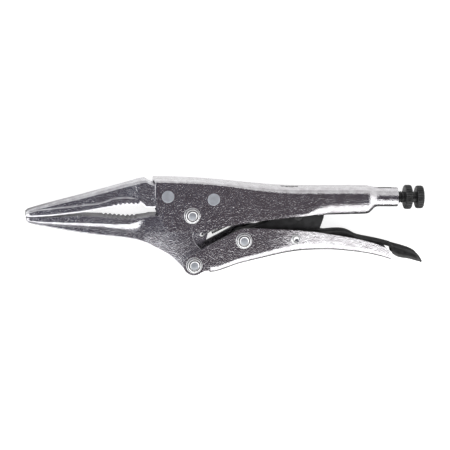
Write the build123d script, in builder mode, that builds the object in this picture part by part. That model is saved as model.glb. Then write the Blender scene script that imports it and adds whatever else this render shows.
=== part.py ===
from build123d import *
from math import cos, sin, radians, atan2
import os

os.makedirs("parts", exist_ok=True)

# Long-nose locking pliers lying flat on one side, in mm.
# +X runs from the jaw tips to the adjusting knob, +Y from the lower handle to the upper one,
# +Z up through the pivots. The jaw pivot is on the Z axis and the lowest rivet heads lie on z = 0.

# Driving sizes
sheet = 2.0
channel_width = 15.5
washer_thick = 0.8
head_high = 1.45
mid_z = channel_width / 2 + washer_thick + head_high
half_outside = channel_width / 2
half_inside = half_outside - sheet
grip_end = 106.0
sleeve_end = 124.9

# Pivots
handle_pivot = (2.2, -30.2)
toggle_pivot = (31.5, -15.2)
release_pivot = (63.0, -14.3)
front_fixing = (-14.7, 11.4)
rear_fixing = (12.6, 9.8)
spring_hole = (7.3, -13.2)
pivot_shank = 6.0
pivot_head = 8.3
pivot_dish = 5.0
dish_deep = 0.6
washer_wide = 9.7
fixing_shank = 7.3
fixing_proud = 0.2
release_shank = 4.0
release_head = 5.8
release_head_high = 0.9

# Fits
turning_fit = 0.05
side_gap = 0.2
screw_fit = 0.08

# Jaws, toggle link and release lever
jaw_half = half_inside - side_gap
ear_radius = 6.1
ear_scoop = 0.35
ear_half = 1.2
link_half = 4.0
lever_half = 5.5
tooth_pitch = 2.6
tooth_deep = 0.9
serration_pitch = 1.4
serration_deep = 0.25

# Adjusting screw
screw_y = 9.9
screw_wide = 7.0
screw_pitch = 1.25
screw_tip = 84.2
thread_deep = 0.55
lock_nut_start = 129.2
lock_nut_thick = 4.2
lock_nut_wide = 14.6
knob_start = 136.3
knob_thick = 4.3
knob_wide = 13.8
knob_seat = 5.0

# Jaw spring
spring_wire = 0.9
spring_wide = 5.0
anchor_front = 55.6
anchor_rear = 62.7
anchor_bar_top = 15.7

side_plane = Plane.XY.offset(mid_z)


def across_at(x):
    """Plane square to the screw at x, with its own Y pointing up the tool."""
    return Plane(origin=(x, screw_y, mid_z), x_dir=(0, 0, -1), z_dir=(1, 0, 0))


def section_at(x):
    """Plane square to X whose own X is the tool's Z and whose own Y is the tool's Y."""
    return Plane(origin=(x, 0, mid_z), x_dir=(0, 0, -1), z_dir=(1, 0, 0))


def shell_edges(top, bottom, half, corner, curl_radius, curl):
    """Bent-sheet section of the grip: spine on top, cheeks at the sides, lips curled under."""
    turn = radians(curl)
    knee = bottom + curl_radius * sin(turn)
    centre = half - curl_radius
    inner = curl_radius - sheet
    inside = max(corner - sheet, 0.4)
    bend = sin(radians(45))
    lip_out = (centre + curl_radius * cos(turn), knee - curl_radius * sin(turn))
    lip_in = (centre + inner * cos(turn), knee - inner * sin(turn))
    mid_out = (centre + curl_radius * cos(turn / 2), knee - curl_radius * sin(turn / 2))
    mid_in = (centre + inner * cos(turn / 2), knee - inner * sin(turn / 2))
    out_mid = (half - corner + corner * bend, top - corner + corner * bend)
    in_side = half - sheet
    in_top = top - sheet
    in_mid = (in_side - inside + inside * bend, in_top - inside + inside * bend)
    right = [
        Line((0, top), (half - corner, top)),
        ThreePointArc((half - corner, top), out_mid, (half, top - corner)),
        Line((half, top - corner), (half, knee)),
        ThreePointArc((half, knee), mid_out, lip_out),
        Line(lip_out, lip_in),
        ThreePointArc(lip_in, mid_in, (in_side, knee)),
        Line((in_side, knee), (in_side, in_top - inside)),
        ThreePointArc((in_side, in_top - inside), in_mid, (in_side - inside, in_top)),
        Line((in_side - inside, in_top), (0, in_top)),
    ]
    return right + [edge.mirror(Plane.YZ) for edge in right]


def pad_level(sections, x):
    """Height of the gripping face at x, between the nearest two jaw sections."""
    for (x0, y0, *_), (x1, y1, *_) in zip(sections, sections[1:]):
        if x0 <= x <= x1:
            return y0 + (y1 - y0) * (x - x0) / (x1 - x0)


def row_along(sections, start, pitch, count, sink):
    """Points at one pitch along a gripping face, sunk into the jaw by a signed depth."""
    spots = [start + pitch * n for n in range(count)]
    return [(x, pad_level(sections, x) + sink) for x in spots]


def jaw_corners(points):
    """Closed jaw section from its right-hand corners, mirrored about the middle plane."""
    return points + [(-x, y) for x, y in reversed(points)]


# Upper handle: flat cheeks in front, rolled grip behind, tapped sleeve at the end
cheek_end = 20.0
cheek_top = 19.0
cheek_bottom = -6.9
with BuildPart() as upper_handle:
    with BuildSketch(side_plane):
        with BuildLine():
            Line((cheek_end, cheek_top), (cheek_end, cheek_bottom))
            Spline(
                (cheek_end, cheek_bottom), (10.9, -9.0), (2.0, -10.1), tangents=((-1, -0.24), (-1, 0))
            )
            Line((2.0, -10.1), (-10.5, -10.1))
            Spline(
                (-10.5, -10.1), (-16.0, -7.4), (-19.6, -0.6), (-22.4, 13.0),
                tangents=((-1, 0), (-0.05, 1)),
            )
            Line((-22.4, 13.0), (-22.4, 21.0))
            Spline((-22.4, 21.0), (0.0, 20.4), (cheek_end, cheek_top), tangents=((1, -0.02), (1, -0.08)))
        make_face()
    extrude(amount=half_outside, both=True)
    spine = upper_handle.faces().sort_by(Axis.Y)[-1]
    fillet(spine.edges().filter_by(Axis.Z, reverse=True), 1.6)
    with BuildSketch(side_plane):
        with BuildLine():
            Spline(
                (-22.4, 21.0 - sheet), (0.0, 20.4 - sheet), (cheek_end, cheek_top - sheet),
                tangents=((1, -0.02), (1, -0.08)),
            )
            Polyline(
                (cheek_end, cheek_top - sheet), (cheek_end, -12), (-22.4, -12), (-22.4, 21.0 - sheet)
            )
        make_face()
    extrude(amount=half_inside, both=True, mode=Mode.SUBTRACT)
    # x, spine, lips, half width, corner radius, curl radius, curl in degrees
    grip_sections = [
        (cheek_end, cheek_top - 0.06, cheek_bottom + 0.06, half_outside, 1.8, 7.0, 2),
        (34.0, 17.9, -4.2, half_outside, 2.9, 7.0, 2),
        (52.0, 16.7, -2.0, half_outside, 3.8, 7.0, 3),
        (72.0, 16.4, -0.2, half_outside, 4.0, 7.0, 10),
        (86.0, 16.4, 0.1, half_outside, 4.0, 7.0, 44),
        (96.0, 16.4, 0.3, half_outside, 4.0, 7.0, 50),
        (grip_end, 16.3, 0.8, 7.4, 4.2, 7.0, 50),
        (111.0, 15.9, 3.2, 6.3, 5.0, 6.0, 54),
        (114.5, screw_y + 5.65, 4.9, 5.65, 5.6, 5.6, 58),
    ]
    for x, *sizes in grip_sections:
        with BuildSketch(section_at(x)):
            with BuildLine():
                add(shell_edges(*sizes))
            make_face()
    loft(ruled=True)
    with BuildSketch(across_at(114.5)):
        Circle(5.75)
        Circle(screw_wide / 2 + screw_fit, mode=Mode.SUBTRACT)
        with Locations((0, -5)):
            Rectangle(2.0, 6, mode=Mode.SUBTRACT)
    extrude(amount=sleeve_end - 114.5)
    with BuildSketch(side_plane):
        with Locations(front_fixing, rear_fixing):
            Circle(fixing_shank / 2)
        Circle(pivot_shank / 2)
    extrude(amount=half_outside, both=True, mode=Mode.SUBTRACT)
    with BuildSketch(Plane.XZ.offset(-20)):
        with Locations((anchor_front, mid_z)):
            Rectangle(3.8, 2.0)
        with Locations((anchor_rear, mid_z)):
            Rectangle(3.0, 2.0)
    extrude(amount=8, mode=Mode.SUBTRACT)
    with BuildSketch(side_plane):
        with Locations(((anchor_front + anchor_rear) / 2, anchor_bar_top + 1)):
            Rectangle(anchor_rear - anchor_front, 2)
    extrude(amount=1.0, both=True, mode=Mode.SUBTRACT)

# Fixed jaw: long tapering nose with a wider gripping pad, and a tang between the cheeks
with BuildPart() as fixed_jaw:
    # x, pad face, pad ledge, ridge, half pad, half body, ridge bevel
    fixed_sections = [
        (-97.8, -1.7, -0.2, 1.1, 3.0, 2.8, 0.4),
        (-94.0, -1.85, 1.5, 2.7, 4.0, 3.6, 0.8),
        (-84.0, -1.2, 3.0, 5.8, 4.7, 3.9, 1.2),
        (-66.0, 1.1, 5.2, 10.6, 5.3, 4.3, 1.3),
        (-50.0, 4.0, 8.4, 15.1, jaw_half, 4.5, 1.3),
        (-40.0, 5.6, 10.0, 17.9, jaw_half, 4.5, 1.3),
        (-33.0, 5.6, 8.4, 19.8, jaw_half, 5.3, 1.2),
    ]
    for x, face, ledge, ridge, pad, body, bevel in fixed_sections:
        with BuildSketch(section_at(x)):
            corners = [(pad, face), (pad, ledge), (body, ledge + 0.6)]
            corners += [(body, ridge - bevel), (body - bevel, ridge)]
            Polygon(*jaw_corners(corners), align=None)
    loft()
    with BuildSketch(side_plane):
        with BuildLine():
            Polyline((-33.0, 19.8), (-33.0, 5.6), (-32.2, 5.5), (-30.6, 7.4), (-27.0, 4.2), (16.6, 4.2))
            Line((16.6, 4.2), (16.6, 16.9))
            Spline((16.6, 16.9), (0.0, 18.1), (-22.3, 18.3), tangents=((-1, 0.1), (-1, 0)))
            Spline((-22.3, 18.3), (-25.3, 19.2), (-27.8, 20.6), tangents=((-1, 0), (-1, 0)))
            Spline((-27.8, 20.6), (-33.0, 19.8), tangents=((-1, 0), (-1, -0.28)))
        make_face()
    extrude(amount=half_inside, both=True)
    with BuildSketch(side_plane):
        Circle(ear_radius + ear_scoop)
        with Locations(front_fixing, rear_fixing):
            Circle(fixing_shank / 2)
    extrude(amount=half_outside, both=True, mode=Mode.SUBTRACT)
    with BuildSketch(side_plane):
        with Locations(*row_along(fixed_sections, -46.4, tooth_pitch, 6, tooth_deep)):
            Triangle(a=tooth_pitch, b=1.8, c=1.8, rotation=0, align=(Align.CENTER, Align.MAX))
        with Locations(*row_along(fixed_sections, -92.0, serration_pitch, 31, serration_deep)):
            Triangle(a=serration_pitch, b=0.9, c=0.9, align=(Align.CENTER, Align.MAX))
    extrude(amount=half_outside, both=True, mode=Mode.SUBTRACT)

# Lower jaw: matching nose, a bell crank down to the handle pivot and a thin spring ear
with BuildPart() as lower_jaw:
    # x, pad face, pad underside, fairing foot, belly, half pad, half body, belly bevel
    lower_sections = [
        (-97.5, -2.2, -3.3, -3.7, -4.2, 3.0, 2.7, 0.3),
        (-94.0, -2.15, -4.4, -5.0, -6.0, 4.0, 3.3, 0.5),
        (-84.0, -1.8, -4.9, -6.1, -7.9, 4.7, 3.5, 0.8),
        (-66.0, -0.7, -5.1, -7.8, -11.0, 5.3, 3.8, 1.0),
        (-50.0, -1.2, -5.7, -9.3, -12.8, jaw_half, 4.0, 1.0),
        (-38.0, -2.3, -6.0, -10.0, -14.1, jaw_half, 4.4, 1.0),
        (-30.0, -1.7, -3.4, -8.6, -15.7, jaw_half, 5.3, 0.8),
    ]
    for x, face, under, foot, belly, pad, body, bevel in lower_sections:
        with BuildSketch(section_at(x)):
            corners = [(pad, face), (pad, under), (body, foot)]
            corners += [(body, belly + bevel), (body - bevel, belly)]
            Polygon(*jaw_corners(corners), align=None)
    loft()
    with BuildSketch(side_plane):
        with BuildLine():
            Polyline((-30.0, -15.7), (-30.0, -1.7), (-26.2, -1.2), (-24.6, -0.6), (0.0, -0.4))
            Line((0.0, -0.4), (6.0, 0.0))
            Spline(
                (6.0, 0.0), (9.6, -7.0), (10.7, -12.2), (9.6, -16.4), (6.9, -20.4), (7.6, -26.0),
                (8.2, -30.2), tangents=((0.4, -1), (0, -1)),
            )
            Polyline((8.2, -30.2), (2.2, -33.0), (-3.4, -33.0))
            Spline(
                (-3.4, -33.0), (-7.1, -29.1), (-12.0, -24.8), (-18.1, -21.1), (-24.1, -18.1),
                (-30.0, -15.7), tangents=((-0.62, 0.78), (-1, 0.36)),
            )
        make_face()
        Circle(ear_radius)
        with Locations(handle_pivot):
            Circle(6.2)
    extrude(amount=jaw_half, both=True)
    with BuildSketch(side_plane):
        Circle(pivot_shank / 2 + turning_fit)
        with Locations(handle_pivot):
            Circle(pivot_shank / 2 + turning_fit)
        with Locations(spring_hole):
            Circle(1.5)
    extrude(amount=half_outside, both=True, mode=Mode.SUBTRACT)
    for level in (mid_z + ear_half, mid_z - ear_half - 5.0):
        with BuildSketch(Plane.XY.offset(level)):
            with BuildLine():
                ThreePointArc((3.0, -8.4), (1.1, -13.2), (5.6, -20.4))
                Polyline((5.6, -20.4), (8.0, -22.5), (14.0, -22.0), (14.0, -8.4), (3.0, -8.4))
            make_face()
        extrude(amount=5.0, mode=Mode.SUBTRACT)
    with BuildSketch(side_plane):
        with Locations(*row_along(lower_sections, -51.2, tooth_pitch, 8, -tooth_deep)):
            Triangle(a=tooth_pitch, b=1.8, c=1.8, rotation=180, align=(Align.CENTER, Align.MIN))
        with Locations(*row_along(lower_sections, -92.0, serration_pitch, 28, -serration_deep)):
            Triangle(a=serration_pitch, b=0.9, c=0.9, rotation=180, align=(Align.CENTER, Align.MIN))
    extrude(amount=half_outside, both=True, mode=Mode.SUBTRACT)

# Lower handle: open-topped channel, its web starting behind the two pivot lobes
with BuildPart() as lower_handle:
    with BuildSketch(side_plane):
        with BuildLine():
            Spline(
                (-1.2, -24.9), (5.4, -21.4), (17.1, -14.9), (27.7, -8.8), (32.5, -7.8),
                tangents=((1, 0.5), (1, 0.05)),
            )
            Spline(
                (32.5, -7.8), (46.9, -8.1), (71.2, -9.6), (95.7, -13.4), (114.2, -18.3), (121.7, -27.1),
                tangents=((1, 0.05), (0.1, -1)),
            )
            Spline(
                (121.7, -27.1), (108.9, -24.1), (84.4, -21.7), (60.1, -23.3), (30.1, -29.9),
                (12.0, -35.2), tangents=((-1, 0.25), (-1, -0.3)),
            )
            Polyline((12.0, -35.2), (11.0, -33.6), (8.6, -33.9), (4.0, -32.0), (-1.2, -24.9))
        make_face()
        with Locations(handle_pivot):
            Circle(6.4)
    extrude(amount=half_outside, both=True)
    belly_edges = lower_handle.edges().filter_by(Axis.Z, reverse=True).filter_by(
        lambda edge: edge.length > 80 and edge.center().Y < -20
    )
    fillet(belly_edges, 4.4)
    with BuildSketch(side_plane):
        with BuildLine():
            Spline(
                (125.0, -25.7), (108.9, -22.1), (84.4, -19.7), (60.1, -21.3), (30.1, -27.9),
                (12.0, -33.2), tangents=((-1, 0.25), (-1, -0.3)),
            )
            Polyline((12.0, -33.2), (12.0, -40.0), (-10.0, -40.0), (-10.0, 0.0), (125.0, 0.0), (125.0, -25.7))
        make_face()
    extrude(amount=half_inside, both=True, mode=Mode.SUBTRACT)
    with BuildSketch(side_plane):
        with Locations(handle_pivot, toggle_pivot):
            Circle(pivot_shank / 2)
        with Locations(release_pivot):
            Circle(release_shank / 2)
    extrude(amount=half_outside, both=True, mode=Mode.SUBTRACT)

# Toggle link: pressed channel from the lower handle up to the end of the adjusting screw
with BuildPart() as toggle_link:
    with BuildSketch(side_plane):
        with BuildLine():
            Polyline((33.0, -21.2), (43.0, -15.2), (56.0, -10.6), (66.0, -9.6), (77.8, -9.0), (80.0, -2.0))
            Line((80.0, -2.0), (80.7, 6.8))
            ThreePointArc((80.7, 6.8), (79.6, 10.2), (76.0, 10.7))
            Line((76.0, 10.7), (45.0, -4.8))
            ThreePointArc((45.0, -4.8), (38.0, -7.5), (31.5, -9.0))
            Line((31.5, -9.0), (33.0, -21.2))
        make_face()
        with Locations(toggle_pivot):
            Circle(6.2)
    extrude(amount=link_half, both=True)
    with BuildSketch(side_plane):
        with BuildLine():
            Polyline(
                (22.0, -10.8), (36.0, -9.9), (46.0, -7.0), (70.0, 5.0), (74.5, 1.5), (75.8, -14.0),
                (58.0, -26.0), (22.0, -26.0), (22.0, -10.8),
            )
        make_face()
    extrude(amount=link_half - sheet, both=True, mode=Mode.SUBTRACT)
    with BuildSketch(side_plane):
        with Locations(toggle_pivot):
            Circle(pivot_shank / 2 + turning_fit)
    extrude(amount=half_outside, both=True, mode=Mode.SUBTRACT)

# Release lever: channel hung in the lower handle, its tail standing out past the end
with BuildPart() as release_lever:
    with BuildSketch(side_plane):
        with BuildLine():
            Spline(
                (50.5, -15.4), (56.5, -12.9), (63.0, -10.9), (79.7, -10.0), (88.5, -9.3), (94.5, -9.9),
                (100.7, -13.1), (110.6, -15.3), (123.1, -18.4), (134.0, -21.7),
                tangents=((1, 0.5), (1, -0.35)),
            )
            Spline((134.0, -21.7), (138.6, -24.4), (141.7, -29.2), tangents=((1, -0.35), (0.4, -1)))
            Line((141.7, -29.2), (140.6, -29.5))
            Spline((140.6, -29.5), (133.7, -27.3), (123.4, -24.4), tangents=((-0.95, 0.32), (-1, 0.25)))
            Polyline((123.4, -24.4), (122.9, -20.4), (110.0, -17.9), (97.0, -15.9), (80.0, -15.6))
            Polyline((80.0, -15.6), (66.0, -18.0), (60.0, -18.0), (50.2, -17.9), (50.5, -15.4))
        make_face()
    extrude(amount=lever_half, both=True)
    with BuildSketch(side_plane):
        with BuildLine():
            Spline(
                (54.0, -15.7), (63.0, -12.7), (79.7, -11.8), (88.5, -11.1), (93.5, -11.7),
                (99.9, -14.8), (110.2, -17.1), (122.6, -20.2), (133.4, -23.5),
                tangents=((1, 0.4), (1, -0.35)),
            )
            Spline((133.4, -23.5), (137.3, -25.9), (139.4, -29.0), tangents=((1, -0.35), (0.4, -1)))
            Polyline((139.4, -29.0), (139.0, -32.0), (54.0, -32.0), (54.0, -15.7))
        make_face()
    extrude(amount=lever_half - 1.8, both=True, mode=Mode.SUBTRACT)
    with BuildSketch(side_plane):
        with Locations(release_pivot):
            Circle(release_shank / 2 + turning_fit)
    extrude(amount=half_outside, both=True, mode=Mode.SUBTRACT)

# Jaw pivot rivet, a made head below and a closed head with a dished middle above
with BuildPart() as jaw_pivot_rivet:
    with BuildSketch(side_plane):
        Circle(pivot_shank / 2)
    extrude(amount=half_outside + washer_thick)
    with BuildSketch(side_plane.offset(half_outside + washer_thick)):
        Circle(pivot_head / 2)
    extrude(amount=head_high)
    fillet(jaw_pivot_rivet.edges().sort_by(Axis.Z)[-1], 0.6)
    mirror(about=side_plane)
    with BuildSketch(side_plane.offset(half_outside + washer_thick + head_high)):
        Circle(pivot_dish / 2)
    extrude(amount=-dish_deep, mode=Mode.SUBTRACT)
with BuildPart() as handle_pivot_rivet:
    add(jaw_pivot_rivet.part.moved(Location((*handle_pivot, 0))))
with BuildPart() as toggle_pivot_rivet:
    add(jaw_pivot_rivet.part.moved(Location((*toggle_pivot, 0))))

# Washers under the pivot rivets' heads, upper side and lower side
with BuildPart() as jaw_washer_upper:
    with BuildSketch(side_plane.offset(half_outside)):
        Circle(washer_wide / 2)
        Circle(pivot_shank / 2, mode=Mode.SUBTRACT)
    extrude(amount=washer_thick)
    fillet(jaw_washer_upper.edges().group_by(Axis.Z)[-1].sort_by(SortBy.RADIUS)[-1], 0.25)
with BuildPart() as jaw_washer_lower:
    add(jaw_washer_upper.part.mirror(side_plane))
with BuildPart() as handle_washer_upper:
    add(jaw_washer_upper.part.moved(Location((*handle_pivot, 0))))
with BuildPart() as handle_washer_lower:
    add(jaw_washer_lower.part.moved(Location((*handle_pivot, 0))))
with BuildPart() as toggle_washer_upper:
    add(jaw_washer_upper.part.moved(Location((*toggle_pivot, 0))))
with BuildPart() as toggle_washer_lower:
    add(jaw_washer_lower.part.moved(Location((*toggle_pivot, 0))))

# Fixing rivets that hold the fixed jaw's tang, their ends nearly flush
with BuildPart() as front_jaw_rivet:
    with BuildSketch(side_plane):
        with Locations(front_fixing):
            Circle(fixing_shank / 2)
    extrude(amount=half_outside + fixing_proud, both=True)
    fillet(front_jaw_rivet.edges(), 0.15)
with BuildPart() as rear_jaw_rivet:
    with BuildSketch(side_plane):
        with Locations(rear_fixing):
            Circle(fixing_shank / 2)
    extrude(amount=half_outside + fixing_proud, both=True)
    fillet(rear_jaw_rivet.edges(), 0.15)

# Release lever rivet
with BuildPart() as release_rivet:
    with BuildSketch(side_plane):
        with Locations(release_pivot):
            Circle(release_shank / 2)
    extrude(amount=half_outside)
    with BuildSketch(side_plane.offset(half_outside)):
        with Locations(release_pivot):
            Circle(release_head / 2)
    extrude(amount=release_head_high)
    fillet(release_rivet.edges().sort_by(Axis.Z)[-1], 0.4)
    mirror(about=side_plane)

# Adjusting screw, its thread drawn as rings
with BuildPart() as adjusting_screw:
    with BuildSketch(across_at(screw_tip)):
        Circle(screw_wide / 2)
    extrude(amount=lock_nut_start - screw_tip)
    chamfer(adjusting_screw.edges().sort_by(Axis.X)[0], 0.8)
    with BuildSketch(across_at(lock_nut_start)):
        Circle(screw_wide / 2 - thread_deep)
    extrude(amount=knob_start - lock_nut_start)
    with BuildSketch(across_at(knob_start)):
        Circle(knob_seat / 2)
    extrude(amount=knob_thick)
    grooves = int((lock_nut_start - screw_tip - 2) / screw_pitch)
    with BuildSketch(side_plane):
        with Locations(
            *[(screw_tip + 1.6 + screw_pitch * n, screw_y + screw_wide / 2 - thread_deep)
              for n in range(grooves)]
        ):
            Triangle(
                a=screw_pitch * 0.94, b=screw_pitch * 0.7, c=screw_pitch * 0.7, rotation=180,
                align=(Align.CENTER, Align.MIN),
            )
    revolve(axis=Axis((0, screw_y, mid_z), (1, 0, 0)), mode=Mode.SUBTRACT)

# Knurled knob pressed on the screw's end
with BuildPart() as adjusting_knob:
    with BuildSketch(across_at(knob_start)):
        Circle(knob_wide / 2)
    extrude(amount=knob_thick)
    fillet(adjusting_knob.edges(), 1.0)
    with BuildSketch(across_at(knob_start)):
        Circle(knob_seat / 2)
        with PolarLocations(knob_wide / 2 + 0.25, 30):
            Circle(0.5)
    extrude(amount=knob_thick, mode=Mode.SUBTRACT)

# Lock nut ahead of the knob
with BuildPart() as lock_nut:
    with BuildSketch(across_at(lock_nut_start)):
        Circle(lock_nut_wide / 2)
    extrude(amount=lock_nut_thick)
    fillet(lock_nut.edges(), 1.0)
    with BuildSketch(across_at(lock_nut_start)):
        Circle(screw_wide / 2 - thread_deep + screw_fit)
        with PolarLocations(lock_nut_wide / 2 + 0.25, 32):
            Circle(0.5)
    extrude(amount=lock_nut_thick, mode=Mode.SUBTRACT)

# Jaw spring: close-wound tension coil from the lower jaw's ear to the bar in the spine
lean = atan2(11.0 - spring_hole[1], anchor_front - spring_hole[0])
coil_ring = (spring_wide - spring_wire) / 2
coil_pitch = spring_wire * 1.08
coil_turns = 36
coil_gap = 6.0
leg = Plane(
    origin=(*spring_hole, mid_z), x_dir=(cos(lean), sin(lean), 0), z_dir=(sin(lean), -cos(lean), 0)
)
coil_axis = Plane(
    origin=leg.from_local_coords((coil_gap, 0)), x_dir=(0, 0, 1), z_dir=(cos(lean), sin(lean), 0)
)
coil = coil_axis * Helix(coil_pitch, coil_turns * coil_pitch, coil_ring)
bend = 1.0
up_x = anchor_front + 0.3
down_x = anchor_rear - 0.3
over_y = anchor_bar_top + 0.55
along = Vector(cos(lean), sin(lean), 0)
leg_start = leg.from_local_coords((coil_gap - 2.6, coil_ring))
with BuildPart() as jaw_spring:
    with BuildLine() as spring_path:
        with BuildLine(leg, mode=Mode.PRIVATE) as front_hook:
            CenterArc((coil_ring, 0), coil_ring, 90, 200)
            Line((coil_ring, coil_ring), (coil_gap - 2.6, coil_ring))
        add(front_hook.line)
        Spline(leg_start, coil @ 0, tangents=(along, coil % 0))
        add(coil)
        Spline(coil @ 1, (up_x, 13.6, mid_z), tangents=(coil % 1 * 0.8, (0, 1, 0)))
        Line((up_x, 13.6, mid_z), (up_x, over_y - bend, mid_z))
        RadiusArc((up_x, over_y - bend, mid_z), (up_x + bend, over_y, mid_z), bend)
        Line((up_x + bend, over_y, mid_z), (down_x - bend, over_y, mid_z))
        RadiusArc((down_x - bend, over_y, mid_z), (down_x, over_y - bend, mid_z), bend)
        Line((down_x, over_y - bend, mid_z), (down_x, 13.4, mid_z))
    spring_wire_path = spring_path.wire()
    with BuildSketch(Plane(origin=spring_wire_path @ 0, z_dir=spring_wire_path % 0)):
        Circle(spring_wire / 2)
    sweep(path=spring_wire_path)

upper_handle.part.label = "upper_handle"
export_step(upper_handle.part, "parts/upper_handle.step")
fixed_jaw.part.label = "fixed_jaw"
export_step(fixed_jaw.part, "parts/fixed_jaw.step")
front_jaw_rivet.part.label = "front_jaw_rivet"
export_step(front_jaw_rivet.part, "parts/front_jaw_rivet.step")
rear_jaw_rivet.part.label = "rear_jaw_rivet"
export_step(rear_jaw_rivet.part, "parts/rear_jaw_rivet.step")
jaw_pivot_rivet.part.label = "jaw_pivot_rivet"
export_step(jaw_pivot_rivet.part, "parts/jaw_pivot_rivet.step")
jaw_washer_upper.part.label = "jaw_washer_upper"
export_step(jaw_washer_upper.part, "parts/jaw_washer_upper.step")
jaw_washer_lower.part.label = "jaw_washer_lower"
export_step(jaw_washer_lower.part, "parts/jaw_washer_lower.step")
lower_jaw.part.label = "lower_jaw"
export_step(lower_jaw.part, "parts/lower_jaw.step")
jaw_spring.part.label = "jaw_spring"
export_step(jaw_spring.part, "parts/jaw_spring.step")
lower_handle.part.label = "lower_handle"
export_step(lower_handle.part, "parts/lower_handle.step")
handle_pivot_rivet.part.label = "handle_pivot_rivet"
export_step(handle_pivot_rivet.part, "parts/handle_pivot_rivet.step")
handle_washer_upper.part.label = "handle_washer_upper"
export_step(handle_washer_upper.part, "parts/handle_washer_upper.step")
handle_washer_lower.part.label = "handle_washer_lower"
export_step(handle_washer_lower.part, "parts/handle_washer_lower.step")
toggle_pivot_rivet.part.label = "toggle_pivot_rivet"
export_step(toggle_pivot_rivet.part, "parts/toggle_pivot_rivet.step")
toggle_washer_upper.part.label = "toggle_washer_upper"
export_step(toggle_washer_upper.part, "parts/toggle_washer_upper.step")
toggle_washer_lower.part.label = "toggle_washer_lower"
export_step(toggle_washer_lower.part, "parts/toggle_washer_lower.step")
toggle_link.part.label = "toggle_link"
export_step(toggle_link.part, "parts/toggle_link.step")
release_lever.part.label = "release_lever"
export_step(release_lever.part, "parts/release_lever.step")
release_rivet.part.label = "release_rivet"
export_step(release_rivet.part, "parts/release_rivet.step")
adjusting_screw.part.label = "adjusting_screw"
export_step(adjusting_screw.part, "parts/adjusting_screw.step")
adjusting_knob.part.label = "adjusting_knob"
export_step(adjusting_knob.part, "parts/adjusting_knob.step")
lock_nut.part.label = "lock_nut"
export_step(lock_nut.part, "parts/lock_nut.step")
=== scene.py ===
import bmesh
import bpy
from math import cos, pi, radians, sin, sqrt
from mathutils import Matrix, Vector


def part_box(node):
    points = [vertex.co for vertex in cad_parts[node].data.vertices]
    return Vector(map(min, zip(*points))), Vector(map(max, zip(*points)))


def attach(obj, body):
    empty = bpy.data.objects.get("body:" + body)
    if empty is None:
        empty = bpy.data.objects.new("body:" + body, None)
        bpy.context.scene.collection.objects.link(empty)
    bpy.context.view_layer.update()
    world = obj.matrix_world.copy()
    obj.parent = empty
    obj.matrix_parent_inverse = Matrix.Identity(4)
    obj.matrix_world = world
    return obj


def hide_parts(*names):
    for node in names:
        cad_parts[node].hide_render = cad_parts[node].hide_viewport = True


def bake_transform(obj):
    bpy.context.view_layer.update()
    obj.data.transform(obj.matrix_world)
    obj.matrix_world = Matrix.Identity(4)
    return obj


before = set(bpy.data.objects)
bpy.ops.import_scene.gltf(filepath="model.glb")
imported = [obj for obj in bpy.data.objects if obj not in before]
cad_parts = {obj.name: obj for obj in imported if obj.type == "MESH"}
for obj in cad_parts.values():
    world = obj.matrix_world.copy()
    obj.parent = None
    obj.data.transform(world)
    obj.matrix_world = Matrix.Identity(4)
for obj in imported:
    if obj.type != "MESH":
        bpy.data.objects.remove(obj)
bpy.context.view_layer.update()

# Sizes are in millimetres and become metres in finish_piece().
MM = 0.001
SHEET = 2.0
HALF_WIDTH = 7.75
MID = 10.0
WASHER_THICK = 0.8
HEAD_HIGH = 1.45
PIVOT_BORE = 3.05
PIVOT_SHANK = 3.0
HEAD_RADIUS = 4.15
PIVOT_LOBE = 6.2
JAW_HALF = 5.55
LOCK_NUT = (129.2, 133.4)
KNOB = (136.3, 140.6)
SPRING_HOLE = (7.3, -13.2)
SPINE_SLOTS = ((53.7, 57.5), (61.2, 64.2))
SHARP_BEND = radians(60)


def middle(node):
    low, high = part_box(node)
    return (low + high) / 2 / MM


JAW_PIVOT = middle("jaw_pivot_rivet")
HANDLE_PIVOT = middle("handle_pivot_rivet")
TOGGLE_PIVOT = middle("toggle_pivot_rivet")
RELEASE_PIVOT = middle("release_rivet")
SCREW = middle("adjusting_screw")


# Curves

def curve_through(points):
    """A smooth height at x through (x, height) pairs that never overshoots them."""
    xs = [x for x, _ in points]
    ys = [y for _, y in points]
    gaps = [b - a for a, b in zip(xs, xs[1:])]
    rises = [(b - a) / gap for a, b, gap in zip(ys, ys[1:], gaps)]
    slopes = [rises[0]]
    for before, after, left, right in zip(rises, rises[1:], gaps, gaps[1:]):
        turned = before * after <= 0
        even = (before * right + after * left) / (left + right)
        limit = 3 * min(abs(before), abs(after))
        slopes.append(0.0 if turned else max(-limit, min(limit, even)))
    slopes.append(rises[-1])

    def height(x):
        x = min(max(x, xs[0]), xs[-1])
        n = max(i for i in range(len(gaps)) if xs[i] <= x)
        t = (x - xs[n]) / gaps[n]
        rise, start, stop = ys[n + 1] - ys[n], slopes[n] * gaps[n], slopes[n + 1] * gaps[n]
        return ys[n] + t * start + t * t * (3 * rise - 2 * start - stop) + t ** 3 * (start + stop - 2 * rise)

    return height


def steps(start, stop, count):
    return [start + (stop - start) * n / count for n in range(count + 1)]


# Meshes

def finish_piece(name, bm, body, material, replaced=(), smooth=30):
    """Makes a millimetre bmesh a piece on a body, shaded sharp where it bends by more than smooth degrees."""
    bmesh.ops.scale(bm, vec=(MM, MM, MM), verts=bm.verts)
    bmesh.ops.recalc_face_normals(bm, faces=bm.faces)
    mesh = bpy.data.meshes.new(name)
    bm.to_mesh(mesh)
    bm.free()
    mesh.polygons.foreach_set("use_smooth", [True] * len(mesh.polygons))
    mesh.set_sharp_from_angle(angle=radians(smooth))
    piece = bpy.data.objects.new(name, mesh)
    bpy.context.scene.collection.objects.link(piece)
    mesh.materials.append(material)
    if replaced:
        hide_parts(*replaced)
    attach(piece, body)
    return piece


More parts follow.
